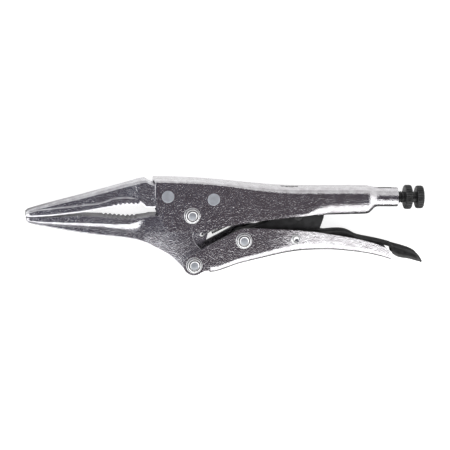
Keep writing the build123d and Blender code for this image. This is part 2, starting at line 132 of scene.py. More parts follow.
def keep_faces_flat(piece):
    flat = piece.modifiers.new("flat_faces", "WEIGHTED_NORMAL")
    flat.keep_sharp = True


def ease(bm, edges, width, segments=3):
    """Rounds chosen edges."""
    bmesh.ops.bevel(
        bm, geom=edges, offset=width, offset_type="OFFSET", affect="EDGES", segments=segments, profile=0.5,
        material=-1, clamp_overlap=False,
    )


def sheet_section(spine, lip, half, corner, curl_radius, curl, sheet=SHEET, web=True, slot_half=1.0):
    """Half of a bent-sheet channel's section as (z, y) points: spine, cheek, lip, and back inside."""
    way = 1 if spine > lip else -1
    turn = radians(curl)
    knee = lip + way * curl_radius * sin(turn)
    centre = half - curl_radius
    inside = max(corner - sheet, 0.35)
    wall = half - sheet
    start = 0.0 if web else wall
    points = [(start, spine), (start + (slot_half if web else 0.3), spine)]
    for a in steps(90, 0, 8):
        bend = radians(a)
        points.append((half - corner + corner * cos(bend), spine - way * corner * (1 - sin(bend))))
    low = spine - way * corner
    points.append((half, low + (knee - low) * 0.5))
    for a in steps(0, turn, 8):
        points.append((centre + curl_radius * cos(a), knee - way * curl_radius * sin(a)))
    for a in steps(turn, 0, 8):
        r = curl_radius - sheet
        points.append((centre + r * cos(a), knee - way * r * sin(a)))
    top = spine - way * (sheet + inside if web else 0.5)
    points.append((wall, top + (knee - top) * 0.5))
    if web:
        for a in steps(0, 90, 8):
            z = wall - inside + inside * cos(radians(a))
            points.append((z, spine - way * (sheet + inside * (1 - sin(radians(a))))))
        points += [(slot_half, spine - way * sheet), (0.0, spine - way * sheet)]
    else:
        points += [(wall, top + (spine - top) * n / 12) for n in range(11)]
    return points


def sweep_rings(bm, rings, joined=False):
    """Draws a skin through rings of points with equal counts, its ends filled or joined to each other."""
    ring = [bm.verts.new(point) for point in rings[0]]
    first = loop = [bm.edges.new(pair) for pair in zip(ring, ring[1:] + ring[:1])]
    if not joined:
        bm.faces.new(ring)
    for points in rings[1:]:
        grown = bmesh.ops.extrude_edge_only(bm, edges=loop)["geom"]
        fresh = {item for item in grown if isinstance(item, bmesh.types.BMVert)}
        ring = [
            next(edge.other_vert(vert) for edge in vert.link_edges if edge.other_vert(vert) in fresh)
            for vert in ring
        ]
        loop = [bm.edges.get(pair) for pair in zip(ring, ring[1:] + ring[:1])]
        for vert, point in zip(ring, points):
            vert.co = point
    if joined:
        bmesh.ops.bridge_loops(bm, edges=first + loop)
    else:
        bm.faces.new(ring)


def sweep_sections(bm, stations):
    """Draws a skin through closed sections, a list of (x, [(z, y), ...]) with equal point counts."""
    sweep_rings(bm, [[(x, y, z) for z, y in points] for x, points in stations])


def mirror_halves(bm):
    """Doubles a half channel across its middle plane and joins the halves."""
    inner = [face for face in bm.faces if all(abs(vert.co.z) < 1e-5 for vert in face.verts)]
    bmesh.ops.delete(bm, geom=inner, context="FACES")
    geom = bm.verts[:] + bm.edges[:] + bm.faces[:]
    bmesh.ops.mirror(bm, geom=geom, matrix=Matrix.Identity(4), merge_dist=1e-4, axis="Z")
    bmesh.ops.remove_doubles(bm, verts=bm.verts, dist=1e-4)


def spun(profile, axis_point, axis, count=64):
    """A solid of revolution from (radius, along) points that start and end on the axis, or close up."""
    bm = bmesh.new()
    axis = Vector(axis)
    out = Vector((0, 1, 0)) if abs(axis.y) < 0.5 else Vector((1, 0, 0))
    verts = [bm.verts.new(Vector(axis_point) + axis * along + out * radius) for radius, along in profile]
    edges = [bm.edges.new(pair) for pair in zip(verts, verts[1:])]
    bmesh.ops.spin(
        bm, geom=verts + edges, cent=axis_point, axis=axis, angle=2 * pi, steps=count, use_merge=True
    )
    bmesh.ops.remove_doubles(bm, verts=bm.verts, dist=1e-4)
    return bm


def plate_mesh(outline, half, width=0.0, plain=None):
    """A flat plate of an (x, y) outline, centred on z = 0, its rims eased where plain(edge) is false."""
    bm = bmesh.new()
    face = bm.faces.new([bm.verts.new((x, y, -half)) for x, y in outline])
    grown = bmesh.ops.extrude_face_region(bm, geom=[face])["geom"]
    risen = [item for item in grown if isinstance(item, bmesh.types.BMVert)]
    bmesh.ops.translate(bm, vec=(0, 0, 2 * half), verts=risen)
    bmesh.ops.recalc_face_normals(bm, faces=bm.faces)
    if width:
        rims = [
            edge for edge in bm.edges
            if abs(edge.verts[0].co.z - edge.verts[1].co.z) < 1e-6 and not (plain and plain(edge))
        ]
        ease(bm, rims, width, 4)
    return bm


def cut_out(bm, cutters):
    """Takes other meshes away from a mesh."""
    scratch = []
    for index, cutter in enumerate([bm] + cutters):
        bmesh.ops.recalc_face_normals(cutter, faces=cutter.faces)
        mesh = bpy.data.meshes.new("scratch_%d" % index)
        cutter.to_mesh(mesh)
        cutter.free()
        thing = bpy.data.objects.new("scratch_%d" % index, mesh)
        bpy.context.scene.collection.objects.link(thing)
        scratch.append(thing)
    for thing in scratch[1:]:
        cut = scratch[0].modifiers.new("cut", "BOOLEAN")
        cut.operation = "DIFFERENCE"
        cut.solver = "EXACT"
        cut.object = thing
    bpy.context.view_layer.update()
    graph = bpy.context.evaluated_depsgraph_get()
    result = bmesh.new()
    result.from_object(scratch[0], graph)
    for thing in scratch:
        bpy.data.objects.remove(thing)
    return result


def round_bar(centre, radius, half):
    """A plain cylinder along z, to cut a hole with."""
    x, y = centre
    return spun([(0, -half), (radius, -half), (radius, half), (0, half)], (x, y, 0), (0, 0, 1), 48)


def arc(centre, radius, start, stop, count):
    x, y = centre
    return [(x + radius * cos(radians(a)), y + radius * sin(radians(a))) for a in steps(start, stop, count)]


def smooth_line(points, count=8):
    """A Catmull-Rom line through (x, y) points."""
    ends = [points[0]] + list(points) + [points[-1]]

    def between(a, b, c, d, t):
        square, cube = 2 * a - 5 * b + 4 * c - d, 3 * b - a - 3 * c + d
        return 0.5 * (2 * b + (c - a) * t + square * t * t + cube * t ** 3)

    line = []
    for p, q, r, s in zip(ends, ends[1:], ends[2:], ends[3:]):
        for n in range(count):
            line.append(tuple(between(a, b, c, d, n / count) for a, b, c, d in zip(p, q, r, s)))
    return line + [tuple(points[-1])]


def lift_to_middle(bm):
    bmesh.ops.translate(bm, vec=(0, 0, MID), verts=bm.verts)


# Materials

def new_material(name, colour, metallic, roughness):
    material = bpy.data.materials.new(name)
    material.use_nodes = True
    shader = material.node_tree.nodes["Principled BSDF"]
    shader.inputs["Base Color"].default_value = (*colour, 1)
    shader.inputs["Metallic"].default_value = metallic
    shader.inputs["Roughness"].default_value = roughness
    return material, material.node_tree.nodes, material.node_tree.links, shader


def noise(nodes, links, size, detail=2.0):
    """Noise on object coordinates whose spots are about size millimetres across."""
    place = nodes.new("ShaderNodeTexCoord")
    texture = nodes.new("ShaderNodeTexNoise")
    texture.inputs["Scale"].default_value = 1 / (size * MM)
    texture.inputs["Detail"].default_value = detail
    links.new(place.outputs["Object"], texture.inputs["Vector"])
    return texture.outputs["Fac"]


def spread(nodes, links, value, low, high, from_low=0.35, from_high=0.65):
    span = nodes.new("ShaderNodeMapRange")
    span.inputs["From Min"].default_value = from_low
    span.inputs["From Max"].default_value = from_high
    span.inputs["To Min"].default_value = low
    span.inputs["To Max"].default_value = high
    links.new(value, span.inputs["Value"])
    return span.outputs["Result"]


def tinted(nodes, links, value, dark, light):
    mix = nodes.new("ShaderNodeMix")
    mix.data_type = "RGBA"
    mix.inputs["A"].default_value = (*dark, 1)
    mix.inputs["B"].default_value = (*light, 1)
    links.new(value, mix.inputs["Factor"])
    return mix.outputs["Result"]


def bumped(nodes, links, shader, layers):
    """Adds bumps onto a shader's normal, each a (size in mm, height in mm) pair."""
    last = None
    for size, height in layers:
        bump = nodes.new("ShaderNodeBump")
        bump.inputs["Distance"].default_value = height * MM
        links.new(noise(nodes, links, size), bump.inputs["Height"])
        if last:
            links.new(last, bump.inputs["Normal"])
        last = bump.outputs["Normal"]
    links.new(last, shader.inputs["Normal"])


def plated(name, dark, light, rough, layers):
    material, nodes, links, shader = new_material(name, light, 1.0, sum(rough) / 2)
    patches = spread(nodes, links, noise(nodes, links, 4.0, 4), 0, 1)
    links.new(tinted(nodes, links, patches, dark, light), shader.inputs["Base Color"])
    dull = spread(nodes, links, noise(nodes, links, 1.1, 3), *rough)
    links.new(dull, shader.inputs["Roughness"])
    bumped(nodes, links, shader, layers)
    return material


HANDLE_PLATE = plated(
    "handle_plate", (0.56, 0.54, 0.56), (0.70, 0.69, 0.71), (0.1, 0.2), ((1.9, 0.12), (0.7, 0.15))
)
JAW_PLATE = plated(
    "jaw_plate", (0.54, 0.53, 0.56), (0.68, 0.68, 0.71), (0.14, 0.24), ((1.4, 0.09), (0.65, 0.15))
)
RIVET_BRIGHT = plated(
    "rivet_bright", (0.62, 0.63, 0.63), (0.78, 0.78, 0.79), (0.12, 0.22), ((1.1, 0.13), (0.5, 0.03))
)
RIVET_FILED = plated("rivet_filed", (0.55, 0.58, 0.62), (0.68, 0.71, 0.76), (0.42, 0.52), ((0.6, 0.006),))
SPRING_STEEL = plated("spring_steel", (0.4, 0.4, 0.4), (0.6, 0.6, 0.6), (0.2, 0.3), ((0.8, 0.01),))


def black_oxide(name):
    material, nodes, links, shader = new_material(name, (0.012, 0.012, 0.013), 0.0, 0.34)
    patches = spread(nodes, links, noise(nodes, links, 3.0, 3), 0, 1)
    colour = tinted(nodes, links, patches, (0.008, 0.008, 0.008), (0.02, 0.02, 0.021))
    links.new(colour, shader.inputs["Base Color"])
    links.new(spread(nodes, links, noise(nodes, links, 1.4, 2), 0.28, 0.42), shader.inputs["Roughness"])
    bumped(nodes, links, shader, ((1.0, 0.012),))
    return material


BLACK = black_oxide("black_oxide")


# Upper handle

def upper_handle():
    front, end = -22.4, 124.9
    spine = curve_through([
        (front, 21.0), (0, 20.4), (20, 19.0), (34, 17.8), (50, 16.6), (60, 16.25), (72, 16.2), (96, 16.3),
        (107, 16.2), (110, 15.95), (113, 15.65), (end, 15.65),
    ])
    lip = curve_through([
        (front, 13.0), (-22.1, 8.0), (-21.2, 3.4), (-19.6, -0.9), (-17.9, -4.6), (-16.0, -7.4), (-13.6, -9.4),
        (-10.5, -10.1), (2, -10.1), (10.9, -9.0), (20, -6.9), (34, -4.3), (52, -2.0), (72, -0.2), (86, 0.1),
        (96, 0.3), (106.5, 0.6), (108.5, 1.5), (111.5, 3.9), (113, 4.25), (end, 4.25),
    ])
    half = curve_through([
        (front, HALF_WIDTH), (96, HALF_WIDTH), (106, 7.6), (111.5, 5.9), (113, 5.75), (end, 5.75),
    ])
    corner = curve_through([
        (front, 1.5), (16, 1.7), (34, 2.9), (52, 3.9), (72, 4.2), (106, 4.4), (111.5, 5.6), (113, 5.7),
        (end, 5.7),
    ])
    curl_radius = curve_through([
        (front, 7.0), (64, 7.0), (72, 8.6), (78, 10.0), (95, 10.2), (106, 9.6), (111.5, 6.2), (113, 5.7),
        (end, 5.7),
    ])
    curl = curve_through([
        (front, 1.0), (48, 2.0), (62, 5.0), (68, 14.0), (74, 32.0), (80, 43.0), (95, 49.0), (106, 52.0),
        (111.5, 74.0), (113, 80.0), (end, 80.0),
    ])

    def section(x, outside=0.0, at_lip=0.0, at_curl=0.0):
        """The sheet at x, drawn in a little where its cut ends are eased."""
        return x, sheet_section(
            spine(x) - outside, lip(x) + at_lip, half(x) - outside, corner(x), curl_radius(x) - at_curl,
            curl(x), SHEET - 2 * outside,
        )

    stations = steps(-21.92, -21.2, 3) + steps(-20.9, -10.5, 26) + steps(-8, 48, 22)
    stations += [50.5, 53.7, 55.6, 57.5, 61.2, 62.7, 64.2]
    stations += steps(67, 103, 18) + steps(104, 117, 13) + [121.0]
    sections = [section(x, inset, inset) for x, inset in ((front, 0.4), (-22.33, 0.22), (-22.2, 0.08))]
    sections += [section(x) for x in stations]
    sections += [section(x, inset, 0.0, inset) for x, inset in ((end - 0.1, 0.1), (end, 0.3))]
    bm = bmesh.new()
    sweep_sections(bm, sections)
    mirror_halves(bm)
    for start, stop in SPINE_SLOTS:
        covers = [
            face for face in bm.faces
            if start < face.calc_center_median().x < stop and abs(face.calc_center_median().z) < 0.9
        ]
        bmesh.ops.delete(bm, geom=covers, context="FACES")
        rims = [
            edge for edge in bm.edges
            if edge.is_boundary and start - 0.1 < (edge.verts[0].co.x + edge.verts[1].co.x) / 2 < stop + 0.1
        ]
        bmesh.ops.bridge_loops(bm, edges=rims)
    cut = [
        edge for edge in bm.edges
        if len(edge.link_faces) == 2 and edge.calc_face_angle() > SHARP_BEND
        and edge_below(edge, lip, 2.2) and -21.9 < min(v.co.x for v in edge.verts) < 106
        and all(abs(v.co.z) > half(v.co.x) - 1.9 for v in edge.verts)
    ]
    ease(bm, cut, 1.6, 2)
    lift_to_middle(bm)
    replaced = ("upper_handle",)
    piece = finish_piece("handle_upper", bm, "fixed_side", HANDLE_PLATE, replaced, 20)
    keep_faces_flat(piece)


def edge_below(edge, lip, reach):
    return all(vert.co.y < lip(vert.co.x) + reach for vert in edge.verts)


def lower_handle():
    px, py, lobe = HANDLE_PIVOT.x, HANDLE_PIVOT.y, 6.4
    lip_line = curve_through([
        (-4.2, -27.0), (-1.2, -24.9), (5.4, -21.4), (11.2, -18.1), (17.1, -14.9), (23.0, -11.6), (27.7, -9.0),
        (31.5, -8.0), (38, -7.8), (46.9, -8.1), (59, -8.7), (71.2, -9.6), (83.4, -11.4), (95.7, -13.4),
        (108, -16.2), (114.2, -18.2), (118.6, -20.4), (120.8, -23.0), (121.7, -26.0),
    ])
    spine_line = curve_through([
        (2.2, -36.6), (6.0, -35.2), (8.6, -33.95), (11.4, -33.7), (12.2, -35.2), (30.1, -29.9), (42, -27.0),
        (60.1, -23.3), (72, -22.1), (84.4, -21.7), (96.6, -22.5), (108.9, -24.1), (121.7, -27.1),
    ])

    def lip(x):
        round_end = py + sqrt(max(lobe ** 2 - (x - px) ** 2, 0))
        return max(round_end, lip_line(x)) if x > -1.2 else round_end

    def spine(x):
        return py - sqrt(max(lobe ** 2 - (x - px) ** 2, 0)) if x < px + 3.9 else spine_line(x)

    corner = curve_through([
        (-4.2, 0.3), (11.5, 0.3), (12.2, 4.4), (40, 4.6), (60, 5.2), (80, 6.2), (100, 6.8), (121.7, 6.9),
    ])
    lean = curve_through([(-4.2, 0.0), (44, 0.0), (56, 0.06), (66, 0.14), (80, 0.17), (121.7, 0.17)])
    stations = [px + lobe * cos(radians(a)) for a in (177, 172, 166, 159, 151, 142, 132, 121)]
    stations += steps(0.2, 11.2, 12) + [11.5, 12.2, 13.0] + steps(15, 117, 51)
    stations += [118.5, 119.6, 120.5, 121.2, 121.7]
    sections = []
    for x in stations:
        tall = abs(lip(x) - spine(x))
        points = sheet_section(
            spine(x), lip(x), HALF_WIDTH, max(min(corner(x), tall * 0.4), 0.05), 7.0, 1.0, web=x > 11.8
        )
        sections.append((x, [(z - lean(x) * (lip(x) - y) * z / HALF_WIDTH, y) for z, y in points]))
    bm = bmesh.new()
    sweep_sections(bm, sections)
    mirror_halves(bm)
    cut = [
        edge for edge in bm.edges
        if len(edge.link_faces) == 2 and edge.calc_face_angle() > SHARP_BEND
        and (all(v.co.y > lip(v.co.x) - 0.4 for v in edge.verts) or max(v.co.x for v in edge.verts) < 11.6)
        and min(v.co.x for v in edge.verts) < 120 and all(abs(v.co.z) > HALF_WIDTH - 1.9 for v in edge.verts)
    ]
    ease(bm, cut, 0.65, 2)
    lift_to_middle(bm)
    replaced = ("lower_handle",)
    piece = finish_piece("handle_lower", bm, "handle_side", HANDLE_PLATE, replaced, 20)
    keep_faces_flat(piece)


def release_lever():
    front, end, tip_start, tip_long, lever_sheet = 50.3, 141.7, 137, 5.2, 1.5
    spine = curve_through([
        (front, -15.6), (56.5, -12.9), (63.0, -11.0), (70, -10.4), (79.7, -10.0), (88.5, -9.35), (93.0, -9.6),
        (96.5, -10.8), (100.7, -13.1), (104.4, -14.1), (110.6, -15.3), (123.1, -18.4), (131, -20.8),
        (135.4, -22.4), (138.2, -24.2), (140.2, -26.6), (end, -29.0),
    ])
    lip = curve_through([
        (front, -17.9), (60, -18.0), (66, -18.0), (80, -15.8), (97, -16.2), (110, -18.0), (121.8, -20.4),
        (122.8, -24.0), (133.7, -27.3), (end, -29.5),
    ])
    stations = steps(front, 96, 24) + steps(97.5, 121.5, 16) + [121.8, 122.1, 122.4, 122.8, 123.6, 124.5]
    stations += steps(126, 136, 8) + [137, 138, 139, 140, 140.8, 141.4, end]
    sections = []
    for x in stations:
        tall = spine(x) - lip(x)
        widest = 4.3 + 1.1 * max(0.0, min(1.0, (x - 124.0) / 6))
        half = widest * sqrt(max(0.12, 1 - (max(0.0, x - tip_start) / tip_long) ** 2))
        curl_radius = min(half - 0.2, 4.4)
        corner, curl = min(2.4, tall * 0.45), min(34.0, tall * 6)
        sections.append((x, sheet_section(
            spine(x), lip(x), half, corner, curl_radius, curl, sheet=lever_sheet, slot_half=0.4
        )))
    bm = bmesh.new()
    sweep_sections(bm, sections)
    mirror_halves(bm)
    lift_to_middle(bm)
    finish_piece("lever_black", bm, "release", BLACK, ("release_lever",))


upper_handle()
lower_handle()
release_lever()


# Jaws

def rounded(corners, first, last):
    """Half a section from first to last, both on the middle plane, its (z, y, radius) corners rounded."""
    line = [first] + [(z, y) for z, y, _ in corners] + [last]
    points = [first]
    for (z, y, radius), before, after in zip(corners, line, line[2:]):
        here = Vector((z, y))
        way_in, way_out = Vector(before) - here, Vector(after) - here
        reach = min(radius, way_in.length * 0.45, way_out.length * 0.45)
        start, stop = here + way_in.normalized() * reach, here + way_out.normalized() * reach
        for t in (0, 0.25, 0.5, 0.75, 1):
            point = start * (1 - t) ** 2 + here * 2 * t * (1 - t) + stop * t * t
            points.append((point.x, point.y))
    return points + [last]


def notches(rows):
    """Depth at x of rows of V notches, each (first, pitch, count, half width, depth), and their stations."""
    spots = [
        (first + pitch * n, half, deep)
        for first, pitch, count, half, deep in rows for n in range(count)
    ]
    marks = [x + side * half for x, half, _ in spots for side in (-1, 0, 1)]

    def depth(x):
        near = (deep * (1 - abs(x - spot) / half) for spot, half, deep in spots if abs(x - spot) < half)
        return max(near, default=0)

    return depth, marks


def straight_through(points):
    def height(x):
        for (x0, y0), (x1, y1) in zip(points, points[1:]):
            if x <= x1:
                return y0 + (y1 - y0) * max(0.0, x - x0) / (x1 - x0)
        return points[-1][1]
    return height


def columns(table):
    """Smooth curves from rows of (x, value, value, ...)."""
    xs, *values = zip(*table)
    return [curve_through(list(zip(xs, column))) for column in values]


def fixed_jaw():
    # x, gripping face, pad ledge, ridge, half pad, half body, ridge bevel
    ledge, ridge, pad, body, bevel = columns([
        (-97.8, -0.2, 1.1, 3.0, 2.8, 0.4),
        (-96.6, 0.3, 2.0, 3.7, 3.3, 0.7),
        (-94.0, 1.3, 2.9, 4.1, 3.6, 0.9),
        (-84.0, 3.0, 5.8, 4.7, 3.9, 1.2),
        (-66.0, 5.2, 10.6, 5.3, 4.3, 1.4),
        (-52.0, 7.4, 14.5, 5.5, 4.5, 1.5),
        (-49.0, 8.6, 15.3, 5.55, 4.5, 1.5),
        (-40.0, 10.0, 17.9, 5.6, 4.6, 1.5),
        (-35.0, 9.8, 19.2, 5.6, 5.2, 1.4),
        (-31.5, 9.0, 20.1, 5.72, 5.72, 1.3),
        (-27.8, 9.0, 20.6, 5.72, 5.72, 1.1),
        (-25.3, 9.0, 19.2, 5.72, 5.72, 0.9),
        (-22.3, 9.0, 18.3, 5.72, 5.72, 0.8),
        (0.0, 9.0, 18.1, 5.72, 5.72, 0.8),
        (16.6, 9.0, 16.9, 5.72, 5.72, 0.8),
    ])
    face = straight_through([
        (-97.8, -1.7), (-94.0, -1.85), (-84.0, -1.2), (-66.0, 1.1), (-50.0, 4.0), (-40.0, 5.6), (-33.0, 5.6),
        (-32.2, 5.5), (-30.6, 7.4), (-27.0, 4.2), (-4.9, 4.2),
    ])
    depth, marks = notches([(-92.0, 1.4, 31, 0.31, 0.25), (-46.4, 2.6, 6, 0.94, 0.9)])
    marks = [mark for mark in marks if not -50 < mark < -48.8]
    throat = [-33.0, -32.2, -31.4, -30.6, -29.5, -28.4, -27.8, -27.0, -26.2, -25.3, -24.0, -22.3]
    stations = sorted({round(x, 3) for x in (
        steps(-97.8, -93, 8) + marks + throat + steps(-50.4, -48, 4) + steps(-20, -6, 6)
        + steps(-4.9, 4.9, 14) + steps(6, 16.6, 4)
    )})
    sections = []
    for x in stations:
        scoop = sqrt(6.45 ** 2 - x * x) if abs(x) < 4.9 else 4.2
        low = face(x) + depth(x) if x < -4.9 else scoop
        step = 0.4 * max(0.0, min(1.0, (pad(x) - body(x)) / 0.3)) + 0.05
        corners = [
            (pad(x) - 0.4, low, 0.1), (pad(x), low + 0.95, 0.15), (pad(x), ledge(x), 0.3),
            (body(x), ledge(x) + step, 0.2),
            (body(x), ridge(x) - bevel(x), 0.35), (body(x) - bevel(x), ridge(x), 0.35),
        ]
        sections.append((x, rounded(corners, (0.0, low), (0.0, ridge(x)))))
    bm = bmesh.new()
    sweep_sections(bm, sections)
    mirror_halves(bm)
    lift_to_middle(bm)
    piece = finish_piece("jaw_fixed", bm, "fixed_side", JAW_PLATE, ("fixed_jaw",), 40)
    keep_faces_flat(piece)


def lower_jaw():
    # x, pad underside, groove foot, belly, half pad, half groove, half body, belly bevel
    under, foot, belly, pad, groove, body, bevel = columns([
        (-97.5, -3.4, -3.6, -4.2, 3.0, 2.95, 2.9, 0.3),
        (-96.4, -3.9, -4.2, -5.2, 3.7, 3.4, 3.5, 0.4),
        (-94.0, -4.3, -4.8, -6.0, 4.0, 3.55, 3.75, 0.5),
        (-84.0, -4.8, -6.0, -7.9, 4.7, 3.9, 4.4, 0.6),
        (-66.0, -5.2, -7.4, -11.0, 5.3, 4.1, 5.0, 0.6),
        (-52.0, -5.6, -8.6, -12.6, 5.52, 4.0, 5.4, 0.5),
        (-44.0, -5.9, -9.4, -13.4, 5.55, 4.0, 5.5, 0.45),
        (-38.0, -5.8, -9.8, -14.1, 5.55, 4.0, 5.55, 0.4),
        (-34.0, -5.0, -9.5, -14.8, 5.55, 4.1, 5.55, 0.35),
        (-32.0, -4.2, -8.6, -15.2, 5.55, 4.4, 5.55, 0.35),
        (-30.6, -3.4, -7.0, -15.55, 5.55, 4.9, 5.55, 0.35),
        (-29.6, -3.0, -5.2, -15.9, 5.55, 5.4, 5.55, 0.35),
        (-28.0, -2.8, -4.2, -16.4, 5.55, 5.55, 5.55, 0.35),
    ])
    face = straight_through([
        (-97.5, -2.2), (-94.0, -2.15), (-84.0, -1.8), (-66.0, -0.7), (-50.0, -1.2), (-38.0, -2.3),
        (-30.0, -1.7), (-28.0, -1.4),
    ])
    depth, marks = notches([(-92.0, 1.4, 28, 0.31, 0.25), (-51.2, 2.6, 8, 0.94, 0.9)])
    groove_end = [-33.0, -32.4, -31.8, -31.2, -30.8, -30.4, -30.0, -29.6, -29.2, -28.6, -28.0]
    stations = sorted({round(x, 3) for x in steps(-97.5, -93, 8) + marks + groove_end})
    sections = []
    for x in stations:
        low = face(x) - depth(x)
        corners = [
            (pad(x), low, 0.25), (pad(x), under(x), 0.4), (groove(x), foot(x), 0.2),
            (body(x), foot(x) - 0.2 - 0.4 * (body(x) - groove(x)), 0.15),
            (body(x), belly(x) + bevel(x), 0.2), (body(x) - bevel(x), belly(x), 0.35),
        ]
        sections.append((x, rounded(corners, (0.0, low), (0.0, belly(x)))))
    bm = bmesh.new()
    sweep_sections(bm, sections)
    mirror_halves(bm)
    lift_to_middle(bm)
    piece = finish_piece("jaw_lower_nose", bm, "jaw_side", JAW_PLATE, ("lower_jaw",), 40)
    keep_faces_flat(piece)

    pivot, through = (HANDLE_PIVOT.x, HANDLE_PIVOT.y), 8
    outline = [(-28.0, -1.4), (-26.2, -1.2), (-24.6, -0.6), (-15.0, -0.5)]
    outline += arc((0, 0), 6.1, 184, 0, 24)
    outline += smooth_line([(6.6, -1.2), (8.6, -4.6), (9.9, -8.2)], 4)
    outline += smooth_line([
        (3.4, -8.5), (1.9, -10.4), (1.2, -13.2), (2.4, -16.8), (5.4, -20.2), (6.9, -21.6),
    ], 5)
    outline += [(7.6, -25.0)] + arc(pivot, PIVOT_LOBE, 20, -153, 22)
    outline += smooth_line([
        (-5.2, -31.2), (-7.6, -28.7), (-12.0, -24.8), (-18.1, -21.1), (-24.1, -18.1), (-28.0, -16.4),
    ], 6)
    bm = plate_mesh(outline, JAW_HALF, 0.35, lambda edge: max(v.co.x for v in edge.verts) < -27.9)
    bm = cut_out(bm, [round_bar(place, PIVOT_BORE, through) for place in ((0, 0), pivot)])
    lift_to_middle(bm)
    finish_piece("jaw_lower_arm", bm, "jaw_side", JAW_PLATE, (), 30)

    ear = [(0.0, -6.0), (8.4, -5.0), (9.6, -7.0)]
    ear += smooth_line([
        (10.3, -9.6), (10.7, -12.2), (9.6, -16.4), (6.9, -20.4), (4.0, -21.0), (-1.0, -17.0),
    ], 5)
    bm = plate_mesh(ear, 1.2, 0.3)
    bm = cut_out(bm, [round_bar(SPRING_HOLE, 1.5, through)])
    lift_to_middle(bm)
    finish_piece("jaw_lower_ear", bm, "jaw_side", JAW_PLATE, (), 30)


fixed_jaw()
lower_jaw()


# Toggle link

def toggle_link():
    pivot = (TOGGLE_PIVOT.x, TOGGLE_PIVOT.y)
    outline = [(43.0, -15.2), (56.0, -10.6), (66.0, -9.6), (77.8, -9.0), (80.0, -2.0), (80.7, 6.8)]
    outline += [(80.3, 9.2), (79.0, 10.4), (77.4, 10.8), (76.0, 10.7), (45.0, -4.8), (41.5, -6.3)]
    outline += [(38.0, -7.5)] + arc(pivot, PIVOT_LOBE, 80, 290, 24)
    bm = plate_mesh(outline, 4.0, 0.6)
    hollow = [
        (22.0, -11.4), (36.0, -9.9), (46.0, -7.0), (70.0, 5.0), (74.5, 1.5), (75.8, -14.0), (58.0, -26.0),
        (22.0, -26.0),
    ]
    bm = cut_out(bm, [plate_mesh(hollow, 2.0), round_bar(pivot, PIVOT_BORE, 8)])
    lift_to_middle(bm)
    finish_piece("link_black", bm, "link", BLACK, ("toggle_link",), 35)
    cap = [(0, 4.75), (0.9, 4.68), (1.8, 4.45), (2.5, 4.05), (2.7, 3.8), (0, 3.8)]
    bm = spun(cap, (64.4, -1.7, MID), (0, 0, 1), 32)
    finish_piece("link_dimple", bm, "link", BLACK, (), 40)


toggle_link()


# Knob and lock nut

def knurled(name, node, body, start, stop, radius, bore, count):
    """A knurled disc: rings from the bore out over one face, the rim, and back over the other face."""
    soft = 1.0
    rim = [(start, bore, 0), (start, bore + 1.2, 0), (start, radius - soft - 0.3, 0)]
    for a in (0, 30, 60, 90):
        grooved = 1 if a > 20 else 0
        rim.append((start + soft * (1 - cos(radians(a))), radius - soft + soft * sin(radians(a)), grooved))
    rim += [(start + stop - x, r, g) for x, r, g in reversed(rim)]
    rings = []
    for x, r, grooved in rim:
        ring = []
        for n in range(count * 4):
            deep = (0.0, 0.0, 0.3, 0.3)[n % 4] * grooved
            a = 2 * pi * n / (count * 4)
            ring.append((x, SCREW.y + (r - deep) * cos(a), MID + (r - deep) * sin(a)))
        rings.append(ring)
    bm = bmesh.new()
    sweep_rings(bm, rings, joined=True)
    finish_piece(name, bm, body, BLACK, (node,), 28)


knurled("knob_knurled", "adjusting_knob", "screw", *KNOB, 6.9, 2.5, 30)
knurled("nut_knurled", "lock_nut", "nut", *LOCK_NUT, 7.3, 3.05, 32)


# Rivets and washers

def arc_points(radius, along, size, start, stop, count=6):
    return [
        (radius + size * cos(radians(a)), along + size * sin(radians(a)))
        for a in steps(start, stop, count)
    ]


def pivot_rivet(name, node, place, body):
    """A shank with a rolled and dished head above, whose middle is filed metal, and a flat head below."""
    base = HALF_WIDTH + WASHER_THICK
    high = base + HEAD_HIGH
    side = arc_points(3.25, high - 0.9, 0.9, 80, 0, 8)
    foot = [(HEAD_RADIUS, base + 0.1), (HEAD_RADIUS - 0.1, base)]
    top = [(0, high - 0.4), (2.2, high - 0.4), (2.5, high - 0.15)]
    top += arc_points(2.85, high - 0.25, 0.25, 130, 90, 3) + side + foot
    low = [(0, high - 0.01), (2.9, high - 0.01)] + arc_points(3.25, high - 0.9, 0.9, 85, 0, 8) + foot
    shank = [(PIVOT_SHANK, base), (PIVOT_SHANK, -base)]
    profile = top + shank + [(r, -along) for r, along in reversed(low)]
    bm = spun(profile, (place.x, place.y, MID), (0, 0, 1))
    finish_piece(name, bm, body, RIVET_BRIGHT, (node,), 50)
    worn = [(0, high - 0.22), (1.6, high - 0.26), (2.25, high - 0.36), (2.25, high - 0.6), (0, high - 0.6)]
    bm = spun(worn, (place.x, place.y, MID), (0, 0, 1), 32)
    finish_piece(name + "_end", bm, body, RIVET_FILED, (), 50)


def washer(name, node, place, body, way):
    base = HALF_WIDTH * way
    thick = WASHER_THICK / 2
    rim = [(r, along * way) for r, along in arc_points(4.45, HALF_WIDTH + thick, thick, -90, 90, 8)]
    profile = [(PIVOT_SHANK, base)] + rim + [(PIVOT_SHANK, base + WASHER_THICK * way), (PIVOT_SHANK, base)]
    bm = spun(profile, (place.x, place.y, MID), (0, 0, 1))
    finish_piece(name, bm, body, RIVET_BRIGHT, (node,), 50)


for joint, place, body in (
    ("jaw", JAW_PIVOT, "fixed_side"),
    ("handle", HANDLE_PIVOT, "handle_side"),
    ("toggle", TOGGLE_PIVOT, "handle_side"),
):
    pivot_rivet(joint + "_rivet", joint + "_pivot_rivet", place, body)
    washer(joint + "_ring_upper", joint + "_washer_upper", place, body, 1)
    washer(joint + "_ring_lower", joint + "_washer_lower", place, body, -1)


